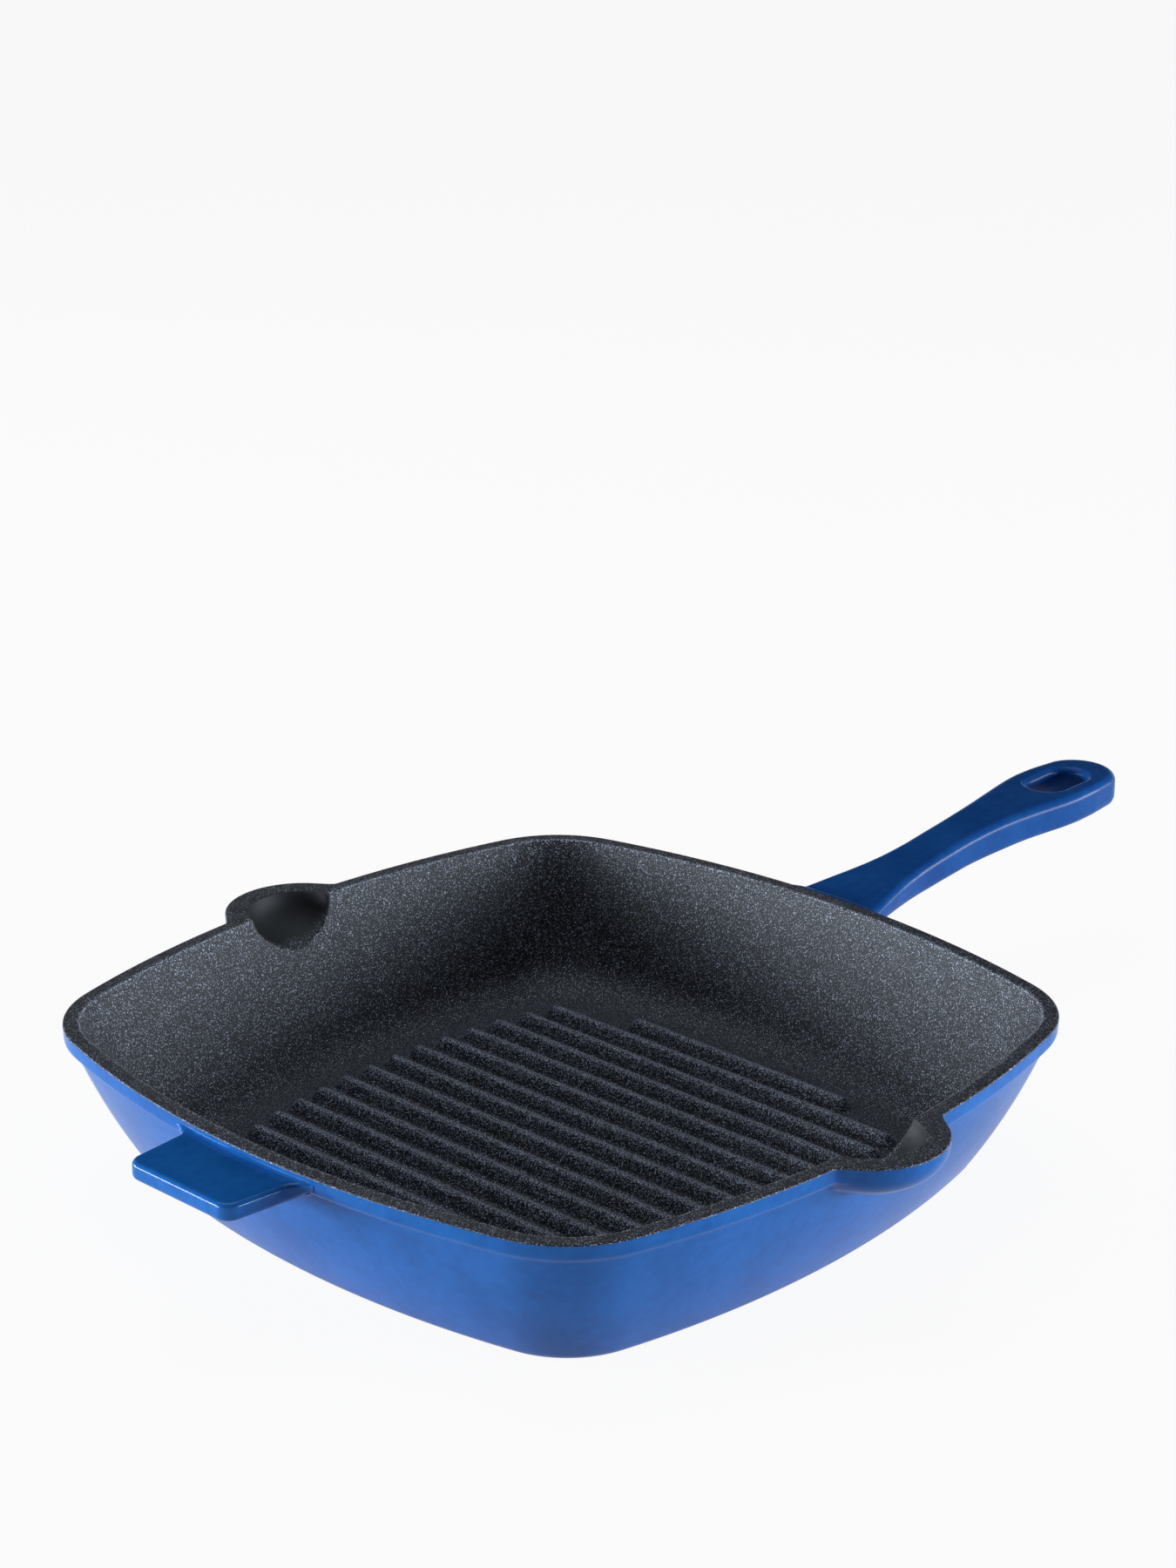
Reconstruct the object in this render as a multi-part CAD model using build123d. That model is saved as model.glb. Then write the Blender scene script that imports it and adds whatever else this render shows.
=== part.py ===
from build123d import *
import os
from math import asin, atan2, cos, pi, radians, sin, sqrt

os.makedirs("parts", exist_ok=True)

# A square enamelled cast-iron grill pan, in millimetres, standing on its flat base.
# The origin is the centre of the base's underside, +Z is up and +X runs along the long handle.
# The real iron is one casting. It is given as its named regions, which meet face to face.
# The glass coats are fused skins on that iron, and each coat is a solid of its own.
# In every function, skin is the thickness of glass taken off: 0 gives the finished surface,
# and the coat's thickness gives the iron under it.

# Pan body: a square with arched sides and round corners that leans in towards its base
body_height = 51.0
# The two spouts' lips are the widest points across, and the rim's sides lie this far inside them
spout_reach = 144.8
spout_overhang = 14.8
rim_half_width = spout_reach - spout_overhang
side_bow_radius = 338.5
rim_corner_radius = 37.7
# How much rounder a corner is at the base than a plain offset of the rim's corner
corner_growth = 16.9
wall_thickness = 4.2
wall_top_lean = 19.0
wall_arch_radius = 187.8
foot_radius = 8.1
floor_thickness = 5.0
floor_turn_radius = 18.0

# Collar: the thicker band that runs round the outside just under the rim
collar_height = 5.7
collar_step = 2.6
collar_edge_radius = 1.7

# Enamel: glass coats fused onto the iron
coat = 0.4

# Pouring spouts: one in the middle of each side beside the handles
spout_radius = 24.0
spout_depth = 15.2
spout_lip_height = 2.0
spout_gusset = 3.6
channel_radius = 19.0
channel_depth = 12.6
channel_run = 9.0

# Grill ridges: parallel rounded bars, whose ends follow an arched square inside the floor's edge
ridge_pitch = 10.9
ridge_height = 4.0
ridge_crest_radius = 2.1
ridge_flank_lean = 35.0
# Their field ends this far short of the flat floor's edge
ridge_field_gap = 6.373
ridge_field_bow_radius = 250.0

# Both handles' roots lie this far inside the rim's line
root_overlap = 8.0

# Long handle
handle_reach = 277.0
handle_grip_half_width = 15.2
handle_end_radius = 14.0
handle_end_arc_angle = 78.0
handle_root_drop = 1.1
handle_end_rise = 9.9
handle_root_depth = 8.1
handle_end_drop = 1.5
handle_top_edge_radius = 3.0
handle_under_edge_radius = 3.0
# Along the handle, as shares of its length, and half widths as shares of the grip's
handle_plan_shares = (
    (0.0, 1.25),
    (0.052, 1.14),
    (0.142, 0.895),
    (0.245, 0.685),
    (0.361, 0.60),
    (0.503, 0.62),
    (0.606, 0.725),
    (0.71, 0.89),
    (0.813, 1.0),
)
# Along the handle, as shares of its length, and its rise as shares of the whole rise
handle_top_shares = (
    (0.0, 0.0),
    (0.142, 0.20),
    (0.348, 0.50),
    (0.555, 0.83),
    (0.761, 0.95),
    (1.0, 1.0),
)
handle_under_shares = (
    (0.0, 0.0),
    (0.142, 0.08),
    (0.271, 0.10),
    (0.425, 0.43),
    (0.658, 0.81),
    (1.0, 1.0),
)

# Hanging hole in the handle's end
hole_length = 25.0
hole_width = 14.0
hole_edge_radius = 2.6
hole_end_distance = 25.0

# Helper handle: a flat tab opposite the long handle
tab_overhang = 24.0
tab_end_half_width = 22.0
tab_root_half_width = 23.5
tab_thickness = 5.6
tab_drop = 2.4
tab_corner_radius = 5.0
tab_flare_radius = 6.0
# The flares' arcs end this far inside the rim's line, so that they don't meet it in a feather edge
tab_flare_sink = 0.9
tab_edge_radius = 1.3

# Cutting bodies run past what they cut by this much
overrun = 3.0

# Stations along a wall's arc and along its turn onto the flat, as shares of each arc
station_shares = (0.0, 0.25, 0.5, 0.75, 1.0)

# Levels and places worked out from the sizes above
iron_top = body_height - coat
collar_underside = body_height - collar_height
arch_inset = collar_step + wall_arch_radius * cos(radians(wall_top_lean))
arch_level = collar_underside + wall_arch_radius * sin(radians(wall_top_lean))
cavity_arch_radius = wall_arch_radius - wall_thickness
spout_centre_y = spout_reach - spout_radius
ridge_crest_level = floor_thickness + ridge_height
handle_root_x = rim_half_width - root_overlap
handle_length = handle_reach - handle_root_x
hole_centre_x = handle_reach - hole_end_distance
tab_root_x = rim_half_width - root_overlap
tab_reach = rim_half_width + tab_overhang


def bowed_square(half_width, bow_radius, corner_radius, level):
    """A face at a level: four arched sides joined by round corners."""
    side_centre = half_width - bow_radius
    reach = bow_radius - corner_radius
    corner_centre = (side_centre + sqrt(2 * reach**2 - side_centre**2)) / 2
    meeting_angle = atan2(corner_centre, corner_centre - side_centre)
    meeting = (side_centre + bow_radius * cos(meeting_angle), bow_radius * sin(meeting_angle))
    tip = corner_centre + corner_radius * cos(pi / 4)
    side = ThreePointArc((meeting[0], -meeting[1]), (half_width, 0), meeting)
    corner = ThreePointArc(meeting, (tip, tip), (meeting[1], meeting[0]))
    arcs = [Rot(0, 0, 90 * turn) * arc for turn in range(4) for arc in (side, corner)]
    return Pos(0, 0, level) * make_face(arcs)


def outline_at(inset, level):
    """The pan's outline at a level, set in from the rim's outer edge."""
    depth_share = (body_height - level) / body_height
    corner_radius = rim_corner_radius - inset + corner_growth * depth_share
    return bowed_square(rim_half_width - inset, side_bow_radius - inset, corner_radius, level)


def rim_outline(skin, level):
    """The rim's own outline, whatever the level."""
    return bowed_square(rim_half_width - skin, side_bow_radius - skin, rim_corner_radius - skin, level)


def raised(face, thickness):
    """A level face raised straight up into a solid."""
    return extrude(face, thickness, dir=(0, 0, 1))


def turn_inset(wall_radius, turn_radius, flat_level):
    """The inset at which a wall's turn has come down onto its flat."""
    drop = arch_level - flat_level - turn_radius
    return arch_inset - sqrt((wall_radius - turn_radius) ** 2 - drop**2)


floor_half_width = rim_half_width - turn_inset(cavity_arch_radius, floor_turn_radius, floor_thickness)
ridge_field_half_width = floor_half_width - ridge_field_gap
ridge_count = round(2 * ridge_field_half_width / ridge_pitch)


def wall_stations(wall_radius, turn_radius, flat_level, top_level):
    """Insets and levels up the turn from the flat, and up the arched wall above it."""
    centre_inset = turn_inset(wall_radius, turn_radius, flat_level)
    centre_level = flat_level + turn_radius
    top_angle = asin((arch_level - top_level) / wall_radius)
    turn_angle = atan2(arch_level - centre_level, arch_inset - centre_inset)
    turn = []
    wall = []
    for share in station_shares:
        angle = pi / 2 + share * (turn_angle - pi / 2)
        turn.append((centre_inset - turn_radius * cos(angle), centre_level - turn_radius * sin(angle)))
        angle = turn_angle + share * (top_angle - turn_angle)
        wall.append((arch_inset - wall_radius * cos(angle), arch_level - wall_radius * sin(angle)))
    return turn, wall


def walled_body(wall_radius, turn_radius, flat_level, top_level):
    """A solid inside the arched wall, from its flat up to a top level."""
    turn, wall = wall_stations(wall_radius, turn_radius, flat_level, top_level)
    lower = loft([outline_at(inset, level) for inset, level in turn])
    upper = loft([outline_at(inset, level) for inset, level in wall])
    return lower + upper


def outer_wall(skin):
    """The pan's outer body without its collar."""
    return walled_body(wall_arch_radius - skin, foot_radius - skin, skin, iron_top)


def collar(skin):
    """The band round the rim, filled right across, with a rounded lower edge."""
    bottom = collar_underside + skin
    band = raised(rim_outline(skin, bottom), iron_top - bottom)
    lower_edges = band.edges().group_by(Axis.Z)[0]
    return fillet(lower_edges, collar_edge_radius - skin)


def bowl_section(radius, depth, lip_height, top_level):
    """Half of a spout's section in the XZ plane: a quarter ellipse under a short upright lip."""
    lip_level = body_height - lip_height
    bowl_depth = depth - lip_height
    curve = EllipticalCenterArc((0, lip_level), radius, bowl_depth, start_angle=-90, arc_size=90)
    outline = [
        curve,
        Line((radius, lip_level), (radius, top_level)),
        Line((radius, top_level), (0, top_level)),
        Line((0, top_level), (0, lip_level - bowl_depth)),
    ]
    return Plane.XZ * make_face(outline)


def spout_bowl(skin):
    """One spout's outer bowl, round its own upright axis."""
    section = bowl_section(spout_radius - skin, spout_depth - skin, spout_lip_height, iron_top)
    return revolve(section, Axis.Z)


def spout_channel(skin):
    """The space that one spout pours through: a round end and a run back into the pan."""
    radius = channel_radius + skin
    section = bowl_section(radius, channel_depth + skin, spout_lip_height, body_height + overrun)
    round_end = revolve(section, Axis.Z, 180)
    run = extrude(section + mirror(section, Plane.YZ), channel_run, dir=(0, -1, 0))
    return round_end + run


def both_spouts(piece):
    """A piece made for a spout on +Y, placed there and mirrored onto -Y."""
    placed = Pos(0, spout_centre_y, 0) * piece
    return [placed, mirror(placed, Plane.XZ)]


def lip_plan(skin, level):
    """The rim's outline with the spouts' lips, which small gussets lead into the sides."""
    outline = rim_outline(skin, level)
    lip = Pos(0, 0, level) * Circle(spout_radius - skin)
    outline = outline + both_spouts(lip)
    joints = [point for point in outline.vertices() if abs(point.X) < spout_radius]
    return chamfer(joints, spout_gusset)


def outer_body(skin):
    """The whole outside of the pan's body, up to the underside of the rim's black coat."""
    lip_level = body_height - spout_lip_height
    lips = raised(lip_plan(skin, lip_level), iron_top - lip_level)
    return outer_wall(skin) + collar(skin) + both_spouts(spout_bowl(skin)) + lips


def cavity(skin):
    """The space inside the pan, open at the top and through both spouts."""
    well = walled_body(
        cavity_arch_radius + skin,
        floor_turn_radius + skin,
        floor_thickness - skin,
        body_height + overrun,
    )
    return well + both_spouts(spout_channel(skin))


def ridge_section(skin):
    """Half of a ridge's section in the XZ plane: a round crest on a leaning flank."""
    lean = radians(ridge_flank_lean)
    radius = ridge_crest_radius - skin
    centre_level = ridge_crest_level - ridge_crest_radius
    foot_level = floor_thickness - coat
    foot = (radius + sin(lean) * (centre_level - foot_level)) / cos(lean)
    shoulder = (radius * cos(lean), centre_level + radius * sin(lean))
    crest_middle = (radius * sin(pi / 4 - lean / 2), centre_level + radius * cos(pi / 4 - lean / 2))
    crest = (0, centre_level + radius)
    outline = [
        Line((0, foot_level), (foot, foot_level)),
        Line((foot, foot_level), shoulder),
        ThreePointArc(shoulder, crest_middle, crest),
        Line(crest, (0, foot_level)),
    ]
    return Plane.XZ * make_face(outline)


def ridge_places():
    """The X place of each ridge and how far its foot runs each way from the middle."""
    spread = ridge_field_bow_radius - ridge_field_half_width
    places = []
    for index in range(ridge_count):
        x = (index - (ridge_count - 1) / 2) * ridge_pitch
        end_side = sqrt(ridge_field_bow_radius**2 - x**2) - spread
        far_side = sqrt(ridge_field_bow_radius**2 - (abs(x) + spread) ** 2)
        places.append((x, min(end_side, far_side)))
    return places


def ridge(x, reach, skin):
    """One ridge with domed ends."""
    section = ridge_section(skin)
    half_length = reach - ridge_section(0).bounding_box().max.X
    bar = extrude(section + mirror(section, Plane.YZ), half_length, both=True)
    end = Pos(0, half_length, 0) * revolve(section, Axis.Z, 180)
    return Pos(x, 0, 0) * (bar + [end, mirror(end, Plane.XZ)])


def handle_plan(skin):
    """The long handle seen from above: a waisted grip with a round end."""
    centre_x = handle_reach - handle_end_radius
    radius = handle_end_radius - skin
    arc_angle = radians(handle_end_arc_angle)
    points = [
        (handle_root_x + along * handle_length, wide * handle_grip_half_width - skin)
        for along, wide in handle_plan_shares
    ]
    arc_start = (centre_x + radius * cos(arc_angle), radius * sin(arc_angle))
    end_tangent = (sin(arc_angle), -cos(arc_angle))
    edge = Spline(*points, arc_start, tangents=((1, -1), end_tangent), tangent_scalars=(0.5, 1))
    end = ThreePointArc(arc_start, (centre_x + radius, 0), (arc_start[0], -arc_start[1]))
    root = Line(points[0], (points[0][0], -points[0][1]))
    return make_face([edge, end, mirror(edge, Plane.XZ), root])


def handle_side(skin):
    """The long handle seen from the side, as a face in the XZ plane that runs past its end."""
    top_start = body_height - handle_root_drop - skin
    top_rise = handle_root_drop + handle_end_rise
    under_start = body_height - handle_root_depth + skin
    under_rise = handle_root_depth - handle_end_drop
    top = [
        (handle_root_x + along * handle_length, top_start + rise * top_rise)
        for along, rise in handle_top_shares
    ]
    under = [
        (handle_root_x + along * handle_length, under_start + rise * under_rise)
        for along, rise in handle_under_shares
    ]
    top_end = (top[-1][0] + overrun, top[-1][1])
    under_end = (under[-1][0] + overrun, under[-1][1])
    outline = [
        Spline(*top, tangents=((1, 0), (1, 0))),
        Line(top[-1], top_end),
        Line(top_end, under_end),
        Line(under_end, under[-1]),
        Spline(*under, tangents=((1, 0), (1, 0))),
        Line(under[0], top[0]),
    ]
    return Plane.XZ * make_face(outline)


def handle_hole(skin):
    """The slot through the handle's end."""
    slot = SlotOverall(hole_length + 2 * skin, hole_width + 2 * skin)
    return Pos(hole_centre_x, 0, 0) * raised(slot, body_height + handle_end_rise + overrun)


def broad_face(piece, way):
    """A piece's largest face that looks up (way 1) or down (way -1)."""
    facing = [face for face in piece.faces() if face.normal_at().Z * way > cos(pi / 4)]
    return max(facing, key=lambda face: face.area)


def handle_blank(skin):
    """The long handle, with its root reaching into the pan's body."""
    plan = raised(handle_plan(skin), body_height + handle_end_rise + overrun)
    side = extrude(handle_side(skin), handle_grip_half_width + rim_corner_radius, both=True)
    blank = plan & side
    for way, radius in ((1, handle_top_edge_radius), (-1, handle_under_edge_radius)):
        edges = broad_face(blank, way).edges()
        outer_edges = [edge for edge in edges if edge.center().X > handle_root_x + overrun]
        blank = fillet(outer_edges, radius - skin)
    blank = blank - handle_hole(skin)
    return fillet(hole_edges(blank), hole_edge_radius - skin)


def hole_edges(blank):
    """The edges round the hanging hole's two mouths."""
    chosen = []
    for edge in blank.edges():
        box = edge.bounding_box()
        near = abs(edge.center().X - hole_centre_x) < hole_length and abs(edge.center().Y) < hole_width
        within = max(abs(box.min.Y), abs(box.max.Y)) < (hole_width + handle_grip_half_width) / 2
        if near and within and box.size.Z < handle_end_drop:
            chosen.append(edge)
    return chosen


def side_line_x(y):
    """How far out the middle of a side's rim lies at a distance along it."""
    return rim_half_width - side_bow_radius + sqrt(side_bow_radius**2 - y**2)


def tab_plan(skin):
    """The helper handle seen from above: round outer corners and a flared root."""
    flare_end_y = tab_root_half_width + tab_flare_radius
    flare_centre = (tab_flare_sink - side_line_x(flare_end_y) - tab_flare_radius, flare_end_y)
    flare = tab_flare_radius + skin
    flare_start = (flare_centre[0], flare_centre[1] - flare)
    flare_middle = (flare_centre[0] + flare * cos(pi / 4), flare_centre[1] - flare * sin(pi / 4))
    flare_end = (flare_centre[0] + flare, flare_end_y)
    outer = (-tab_reach + skin, tab_end_half_width - skin)
    root = (-tab_root_x, flare_end_y)
    edges = [
        Line((outer[0], 0), outer),
        Line(outer, flare_start),
        ThreePointArc(flare_start, flare_middle, flare_end),
        Line(flare_end, root),
        Line(root, (root[0], 0)),
    ]
    half = make_face(edges + [Line((root[0], 0), (outer[0], 0))])
    plan = half + mirror(half, Plane.XZ)
    corners = plan.vertices().group_by(Axis.X)[0]
    return fillet(corners, tab_corner_radius - skin)


def tab_blank(skin):
    """The helper handle, with its root reaching into the pan's body."""
    bottom = body_height - tab_drop - tab_thickness + skin
    tab = raised(Pos(0, 0, bottom) * tab_plan(skin), tab_thickness - 2 * skin)
    flats = (tab.faces().sort_by(Axis.Z)[0], tab.faces().sort_by(Axis.Z)[-1])
    rims = [
        edge
        for flat in flats
        for edge in flat.edges()
        if edge.center().X < -tab_root_x - overrun
    ]
    return fillet(rims, tab_edge_radius - skin)


def side_wedge(turn):
    """A wedge round one side of the pan, between the diagonals through its corners."""
    near = (handle_reach, -handle_reach)
    far = (handle_reach, handle_reach)
    plan = make_face([Line((0, 0), near), Line(near, far), Line(far, (0, 0))])
    return Rot(0, 0, 90 * turn) * raised(plan, body_height)


def write_part(name, piece):
    """Writes one named piece."""
    export_step(piece, "parts/" + name + ".step")


def write_pair(names, pieces, direction):
    """Writes the two halves of a piece under two names, in order along a direction."""
    for name, half in zip(names, pieces.solids().sort_by(direction)):
        write_part(name, half)


finished_body = outer_body(0)
finished_cavity = cavity(0)
iron_body = outer_body(coat)
iron_wall = outer_wall(coat)
iron_collar = collar(coat)
iron_cavity = cavity(coat)
iron_handle = handle_blank(coat)
iron_tab = tab_blank(coat)
finished_ridges = [ridge(x, reach, 0) for x, reach in ridge_places()]
iron_ridges = [ridge(x, reach, coat) for x, reach in ridge_places()]

# Iron: the floor plate, the four side walls, the collar's two arcs and the two spouts
floor_inset = turn_inset(cavity_arch_radius + coat, floor_turn_radius + coat, floor_thickness - coat)
floor_plate = raised(outline_at(floor_inset, coat), floor_thickness - 2 * coat)
write_part("floor_plate", floor_plate)
side_walls = iron_wall - iron_cavity - floor_plate
for turn, name in enumerate(("handle_side_wall", "left_side_wall", "tab_side_wall", "right_side_wall")):
    write_part(name, side_walls & side_wedge(turn))
collar_arcs = iron_collar - iron_wall - iron_cavity
write_pair(("rim_collar_tab_side", "rim_collar_handle_side"), collar_arcs, Axis.X)
spouts = iron_body - iron_wall - iron_collar - iron_cavity
write_pair(("spout_right", "spout_left"), spouts, Axis.Y)

# Iron: the handles, up to the faces where they leave the body
write_part("long_handle", iron_handle - iron_wall - iron_collar)
write_part("helper_handle", iron_tab - iron_wall - iron_collar)

# Iron: the grill ridges, standing on the floor plate
for number, piece in enumerate(iron_ridges, start=1):
    write_part(f"grill_ridge_{number:02d}", piece)

# Blue glass outside: the base, the wall with its collar and spouts, and both handles
base_inset = turn_inset(wall_arch_radius, foot_radius, 0)
base_enamel = raised(outline_at(base_inset, 0), coat)
write_part("base_enamel", base_enamel)
write_part("wall_enamel", finished_body - iron_body - base_enamel - iron_handle - iron_tab)
write_part("long_handle_enamel", handle_blank(0) - iron_handle - finished_body)
write_part("helper_handle_enamel", tab_blank(0) - iron_tab - finished_body)

# Black glass inside: the lining with its coat over every ridge, and the flat top of the rim
lining = (iron_cavity & raised(rim_outline(-spout_radius, 0), iron_top)) - finished_cavity
write_part("lining_enamel", lining + finished_ridges - iron_ridges)
write_part("rim_enamel", raised(lip_plan(0, iron_top), coat) - finished_cavity)
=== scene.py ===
"""Looks of a square enamelled cast-iron grill pan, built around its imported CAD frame.

Every size is in millimetres in the part's own frame: the origin is the centre of the base's
underside, +X runs along the long handle and +Z is up. Meshes are written in metres.
"""

import logging
import math
from dataclasses import dataclass
from enum import Enum
from typing import Callable, Dict, List, Optional, Sequence, Tuple, Union

import bpy
import numpy as np
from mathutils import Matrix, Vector


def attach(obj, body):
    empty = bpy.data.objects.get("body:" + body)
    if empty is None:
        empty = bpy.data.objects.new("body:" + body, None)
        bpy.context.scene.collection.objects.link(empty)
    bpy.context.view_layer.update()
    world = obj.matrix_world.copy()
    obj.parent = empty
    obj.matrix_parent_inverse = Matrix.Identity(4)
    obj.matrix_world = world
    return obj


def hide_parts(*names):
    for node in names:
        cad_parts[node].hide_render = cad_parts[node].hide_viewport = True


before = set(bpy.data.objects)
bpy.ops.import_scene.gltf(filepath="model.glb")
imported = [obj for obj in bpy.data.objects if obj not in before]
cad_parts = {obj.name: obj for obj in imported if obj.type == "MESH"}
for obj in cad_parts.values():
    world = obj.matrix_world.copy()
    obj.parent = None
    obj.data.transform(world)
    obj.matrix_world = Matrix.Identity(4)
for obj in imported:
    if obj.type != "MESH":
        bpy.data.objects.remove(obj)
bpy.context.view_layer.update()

log = logging.getLogger("grill_pan")

MM = 0.001
BODY = "root"
MERGE_DISTANCE = 0.000004
LEAST_BLEND = 0.001
WHITE = (1.0, 1.0, 1.0, 1.0)

Array = np.ndarray
Curve = Callable[[Array], Array]
Knots = Sequence[Tuple[float, float]]
Piece = bpy.types.Object
Material = bpy.types.Material
Tree = bpy.types.NodeTree
Socket = bpy.types.NodeSocket
Links = Dict[Union[int, str], object]


class Slot(Enum):
    """The record's material slots that show on the pan."""

    BLUE = "blue_enamel"
    BLACK = "black_enamel"


# Mesh helpers.


def deselect_all() -> None:
    """Leaves nothing selected, as every operator acts on what is."""
    for thing in bpy.context.selected_objects:
        thing.select_set(False)


def newly_added(name: str) -> Piece:
    """The object that an operator has just added, named."""
    thing = bpy.context.active_object
    thing.name = name
    return thing


def woven_grid(name: str, rows: Sequence[Array], wraps: bool) -> Piece:
    """A grid primitive, shaped row by row and sewn up where its points meet.

    Args:
        name: the piece's name.
        rows: one array of points per row, in millimetres, all with the same count.
        wraps: whether each row runs round and closes on its own first point.

    Returns:
        The piece, smooth shaded, with its faces pointing outwards.
    """
    points = np.array(rows, float)
    if wraps:
        points = np.concatenate([points, points[:, :1]], axis=1)
    row_count, column_count = points.shape[:2]
    deselect_all()
    bpy.ops.mesh.primitive_grid_add(
        x_subdivisions=column_count - 1, y_subdivisions=row_count - 1, size=1
    )
    piece = newly_added(name)
    piece.data.name = name
    piece.data.vertices.foreach_set("co", (points * MM).reshape(-1).astype(np.float32))
    piece.data.update()
    sew(piece)
    return piece


def sew(piece: Piece) -> None:
    """Merges a piece's doubled points, closes its open ends and turns its faces outwards.

    Args:
        piece: the mesh to sew.
    """
    deselect_all()
    piece.select_set(True)
    bpy.context.view_layer.objects.active = piece
    bpy.ops.object.mode_set(mode="EDIT")
    bpy.ops.mesh.select_all(action="SELECT")
    bpy.ops.mesh.remove_doubles(threshold=MERGE_DISTANCE)
    bpy.ops.mesh.dissolve_degenerate(threshold=MERGE_DISTANCE)
    bpy.ops.mesh.select_all(action="SELECT")
    bpy.ops.mesh.normals_make_consistent(inside=False)
    bpy.ops.object.mode_set(mode="OBJECT")
    bpy.ops.object.shade_smooth()
    piece.select_set(False)


def joined_skin(name: str, parts: Sequence[Sequence[Array]]) -> Piece:
    """Weaves the parts of a skin, joins them and sews their shared edges.

    Args:
        name: the piece's name.
        parts: the parts' rows of points; the parts meet edge to edge.

    Returns:
        The joined piece.
    """
    pieces = [woven_grid(f"{name}_{n}" if n else name, part, False) for n, part in enumerate(parts)]
    deselect_all()
    for piece in pieces:
        piece.select_set(True)
    bpy.context.view_layer.objects.active = pieces[0]
    bpy.ops.object.join()
    sew(pieces[0])
    return pieces[0]


def coordinates(piece: Piece) -> Array:
    """A piece's points as rows of x, y and z, in millimetres."""
    points = np.zeros(len(piece.data.vertices) * 3)
    piece.data.vertices.foreach_get("co", points)
    return points.reshape(-1, 3) / MM


def mark(piece: Piece, name: str, values: Array) -> None:
    """Writes one value for each point of a piece to an attribute that its shader reads."""
    attribute = piece.data.attributes.new(name, "FLOAT", "POINT")
    attribute.data.foreach_set("value", values.astype(np.float32))


def ramp_up(value: Array, start: float, width: float) -> Array:
    """A share that rises from 0 at a start to 1 over a width."""
    return np.clip((value - start) / width, 0, 1)


def quarter_turn(steps: int) -> Array:
    """Angles spread evenly from 0 to a right angle."""
    return np.linspace(0.0, math.pi / 2, steps)


def round_turn(radius: float, steps: int) -> List[Tuple[float, float]]:
    """A quarter circle: how far each step is from the circle's end, and from its start."""
    turn = quarter_turn(steps)
    return [(radius * (1 - math.sin(angle)), radius * (1 - math.cos(angle))) for angle in turn]


def running_length(steps: Array) -> Array:
    """Each point's distance along a curve, from the lengths of its steps."""
    return np.concatenate([[0.0], np.cumsum(steps)])


def step_lengths(plan: Array) -> Array:
    """The distance from each plan point to the next."""
    return np.linalg.norm(np.diff(plan, axis=0), axis=1)


def smooth_max(first: Array, second: Array, blend: Array) -> Array:
    """The larger of two distances, rounded off where they are nearly equal.

    Args:
        first: one distance for each direction.
        second: the other distance.
        blend: how far apart they may be and still be blended.

    Returns:
        The blended distance.
    """
    overlap = np.maximum(blend - np.abs(first - second), 0.0)
    return np.maximum(first, second) + overlap**2 / (4.0 * np.maximum(blend, LEAST_BLEND))


def smooth_curve(knots: Knots) -> Curve:
    """A smooth curve through knots that never overshoots between two of them.

    Args:
        knots: pairs of place and value, in rising order of place.

    Returns:
        A function that gives the value at each place.
    """
    places = np.array([place for place, _ in knots], float)
    values = np.array([value for _, value in knots], float)
    steps = np.diff(places)
    slopes = np.diff(values) / steps
    tangents = np.zeros(len(places))
    for i in range(1, len(places) - 1):
        if slopes[i - 1] * slopes[i] > 0:
            before = 2 * steps[i] + steps[i - 1]
            after = steps[i] + 2 * steps[i - 1]
            tangents[i] = (before + after) / (before / slopes[i - 1] + after / slopes[i])
    tangents[0] = slopes[0]
    tangents[-1] = slopes[-1]

    def value_at(x: Array) -> Array:
        """The curve's value at each place."""
        x = np.clip(np.asarray(x, float), places[0], places[-1])
        i = np.clip(np.searchsorted(places, x) - 1, 0, len(steps) - 1)
        t = (x - places[i]) / steps[i]
        start = (1 + 2 * t) * (1 - t) ** 2 * values[i] + t * (1 - t) ** 2 * steps[i] * tangents[i]
        end = t**2 * (3 - 2 * t) * values[i + 1] + t**2 * (t - 1) * steps[i] * tangents[i + 1]
        return start + end

    return value_at


# Materials.


def linear(hex_colour: str) -> Tuple[float, float, float, float]:
    """An sRGB hex colour as the linear colour that shaders take."""
    channels = [int(hex_colour[i : i + 2], 16) / 255 for i in (1, 3, 5)]
    red, green, blue = (
        c / 12.92 if c <= 0.04045 else ((c + 0.055) / 1.055) ** 2.4 for c in channels
    )
    return (red, green, blue, 1.0)


def add_node(
    tree: Tree, kind: str, links: Optional[Links] = None, **settings: object
) -> bpy.types.Node:
    """Adds one shader node.

    Args:
        tree: the node tree.
        kind: the node's type name without its "ShaderNode" start.
        links: for each input, the socket that feeds it or the value it holds.
        settings: properties of the node itself.

    Returns:
        The node.
    """
    node = tree.nodes.new("ShaderNode" + kind)
    for key, value in settings.items():
        setattr(node, key, value)
    for key, value in (links or {}).items():
        socket = node.inputs[key]
        if isinstance(value, Socket):
            tree.links.new(value, socket)
        else:
            socket.default_value = value
    return node


def noise(
    tree: Tree, place: Socket, size_mm: float, detail: float, roughness: float = 0.5
) -> Socket:
    """A noise pattern.

    Args:
        tree: the node tree.
        place: the coordinates.
        size_mm: about how many millimetres the pattern repeats in.
        detail: how many finer layers it has.
        roughness: how strong each finer layer is.

    Returns:
        The pattern's value.
    """
    links = {
        "Vector": place,
        "Scale": 1.0 / (size_mm * MM),
        "Detail": detail,
        "Roughness": roughness,
    }
    return add_node(tree, "TexNoise", links).outputs["Fac"]


def calculate(tree: Tree, operation: str, *values: object) -> Socket:
    """The result of one Math node on sockets and numbers."""
    return add_node(tree, "Math", dict(enumerate(values)), operation=operation).outputs[0]


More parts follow.
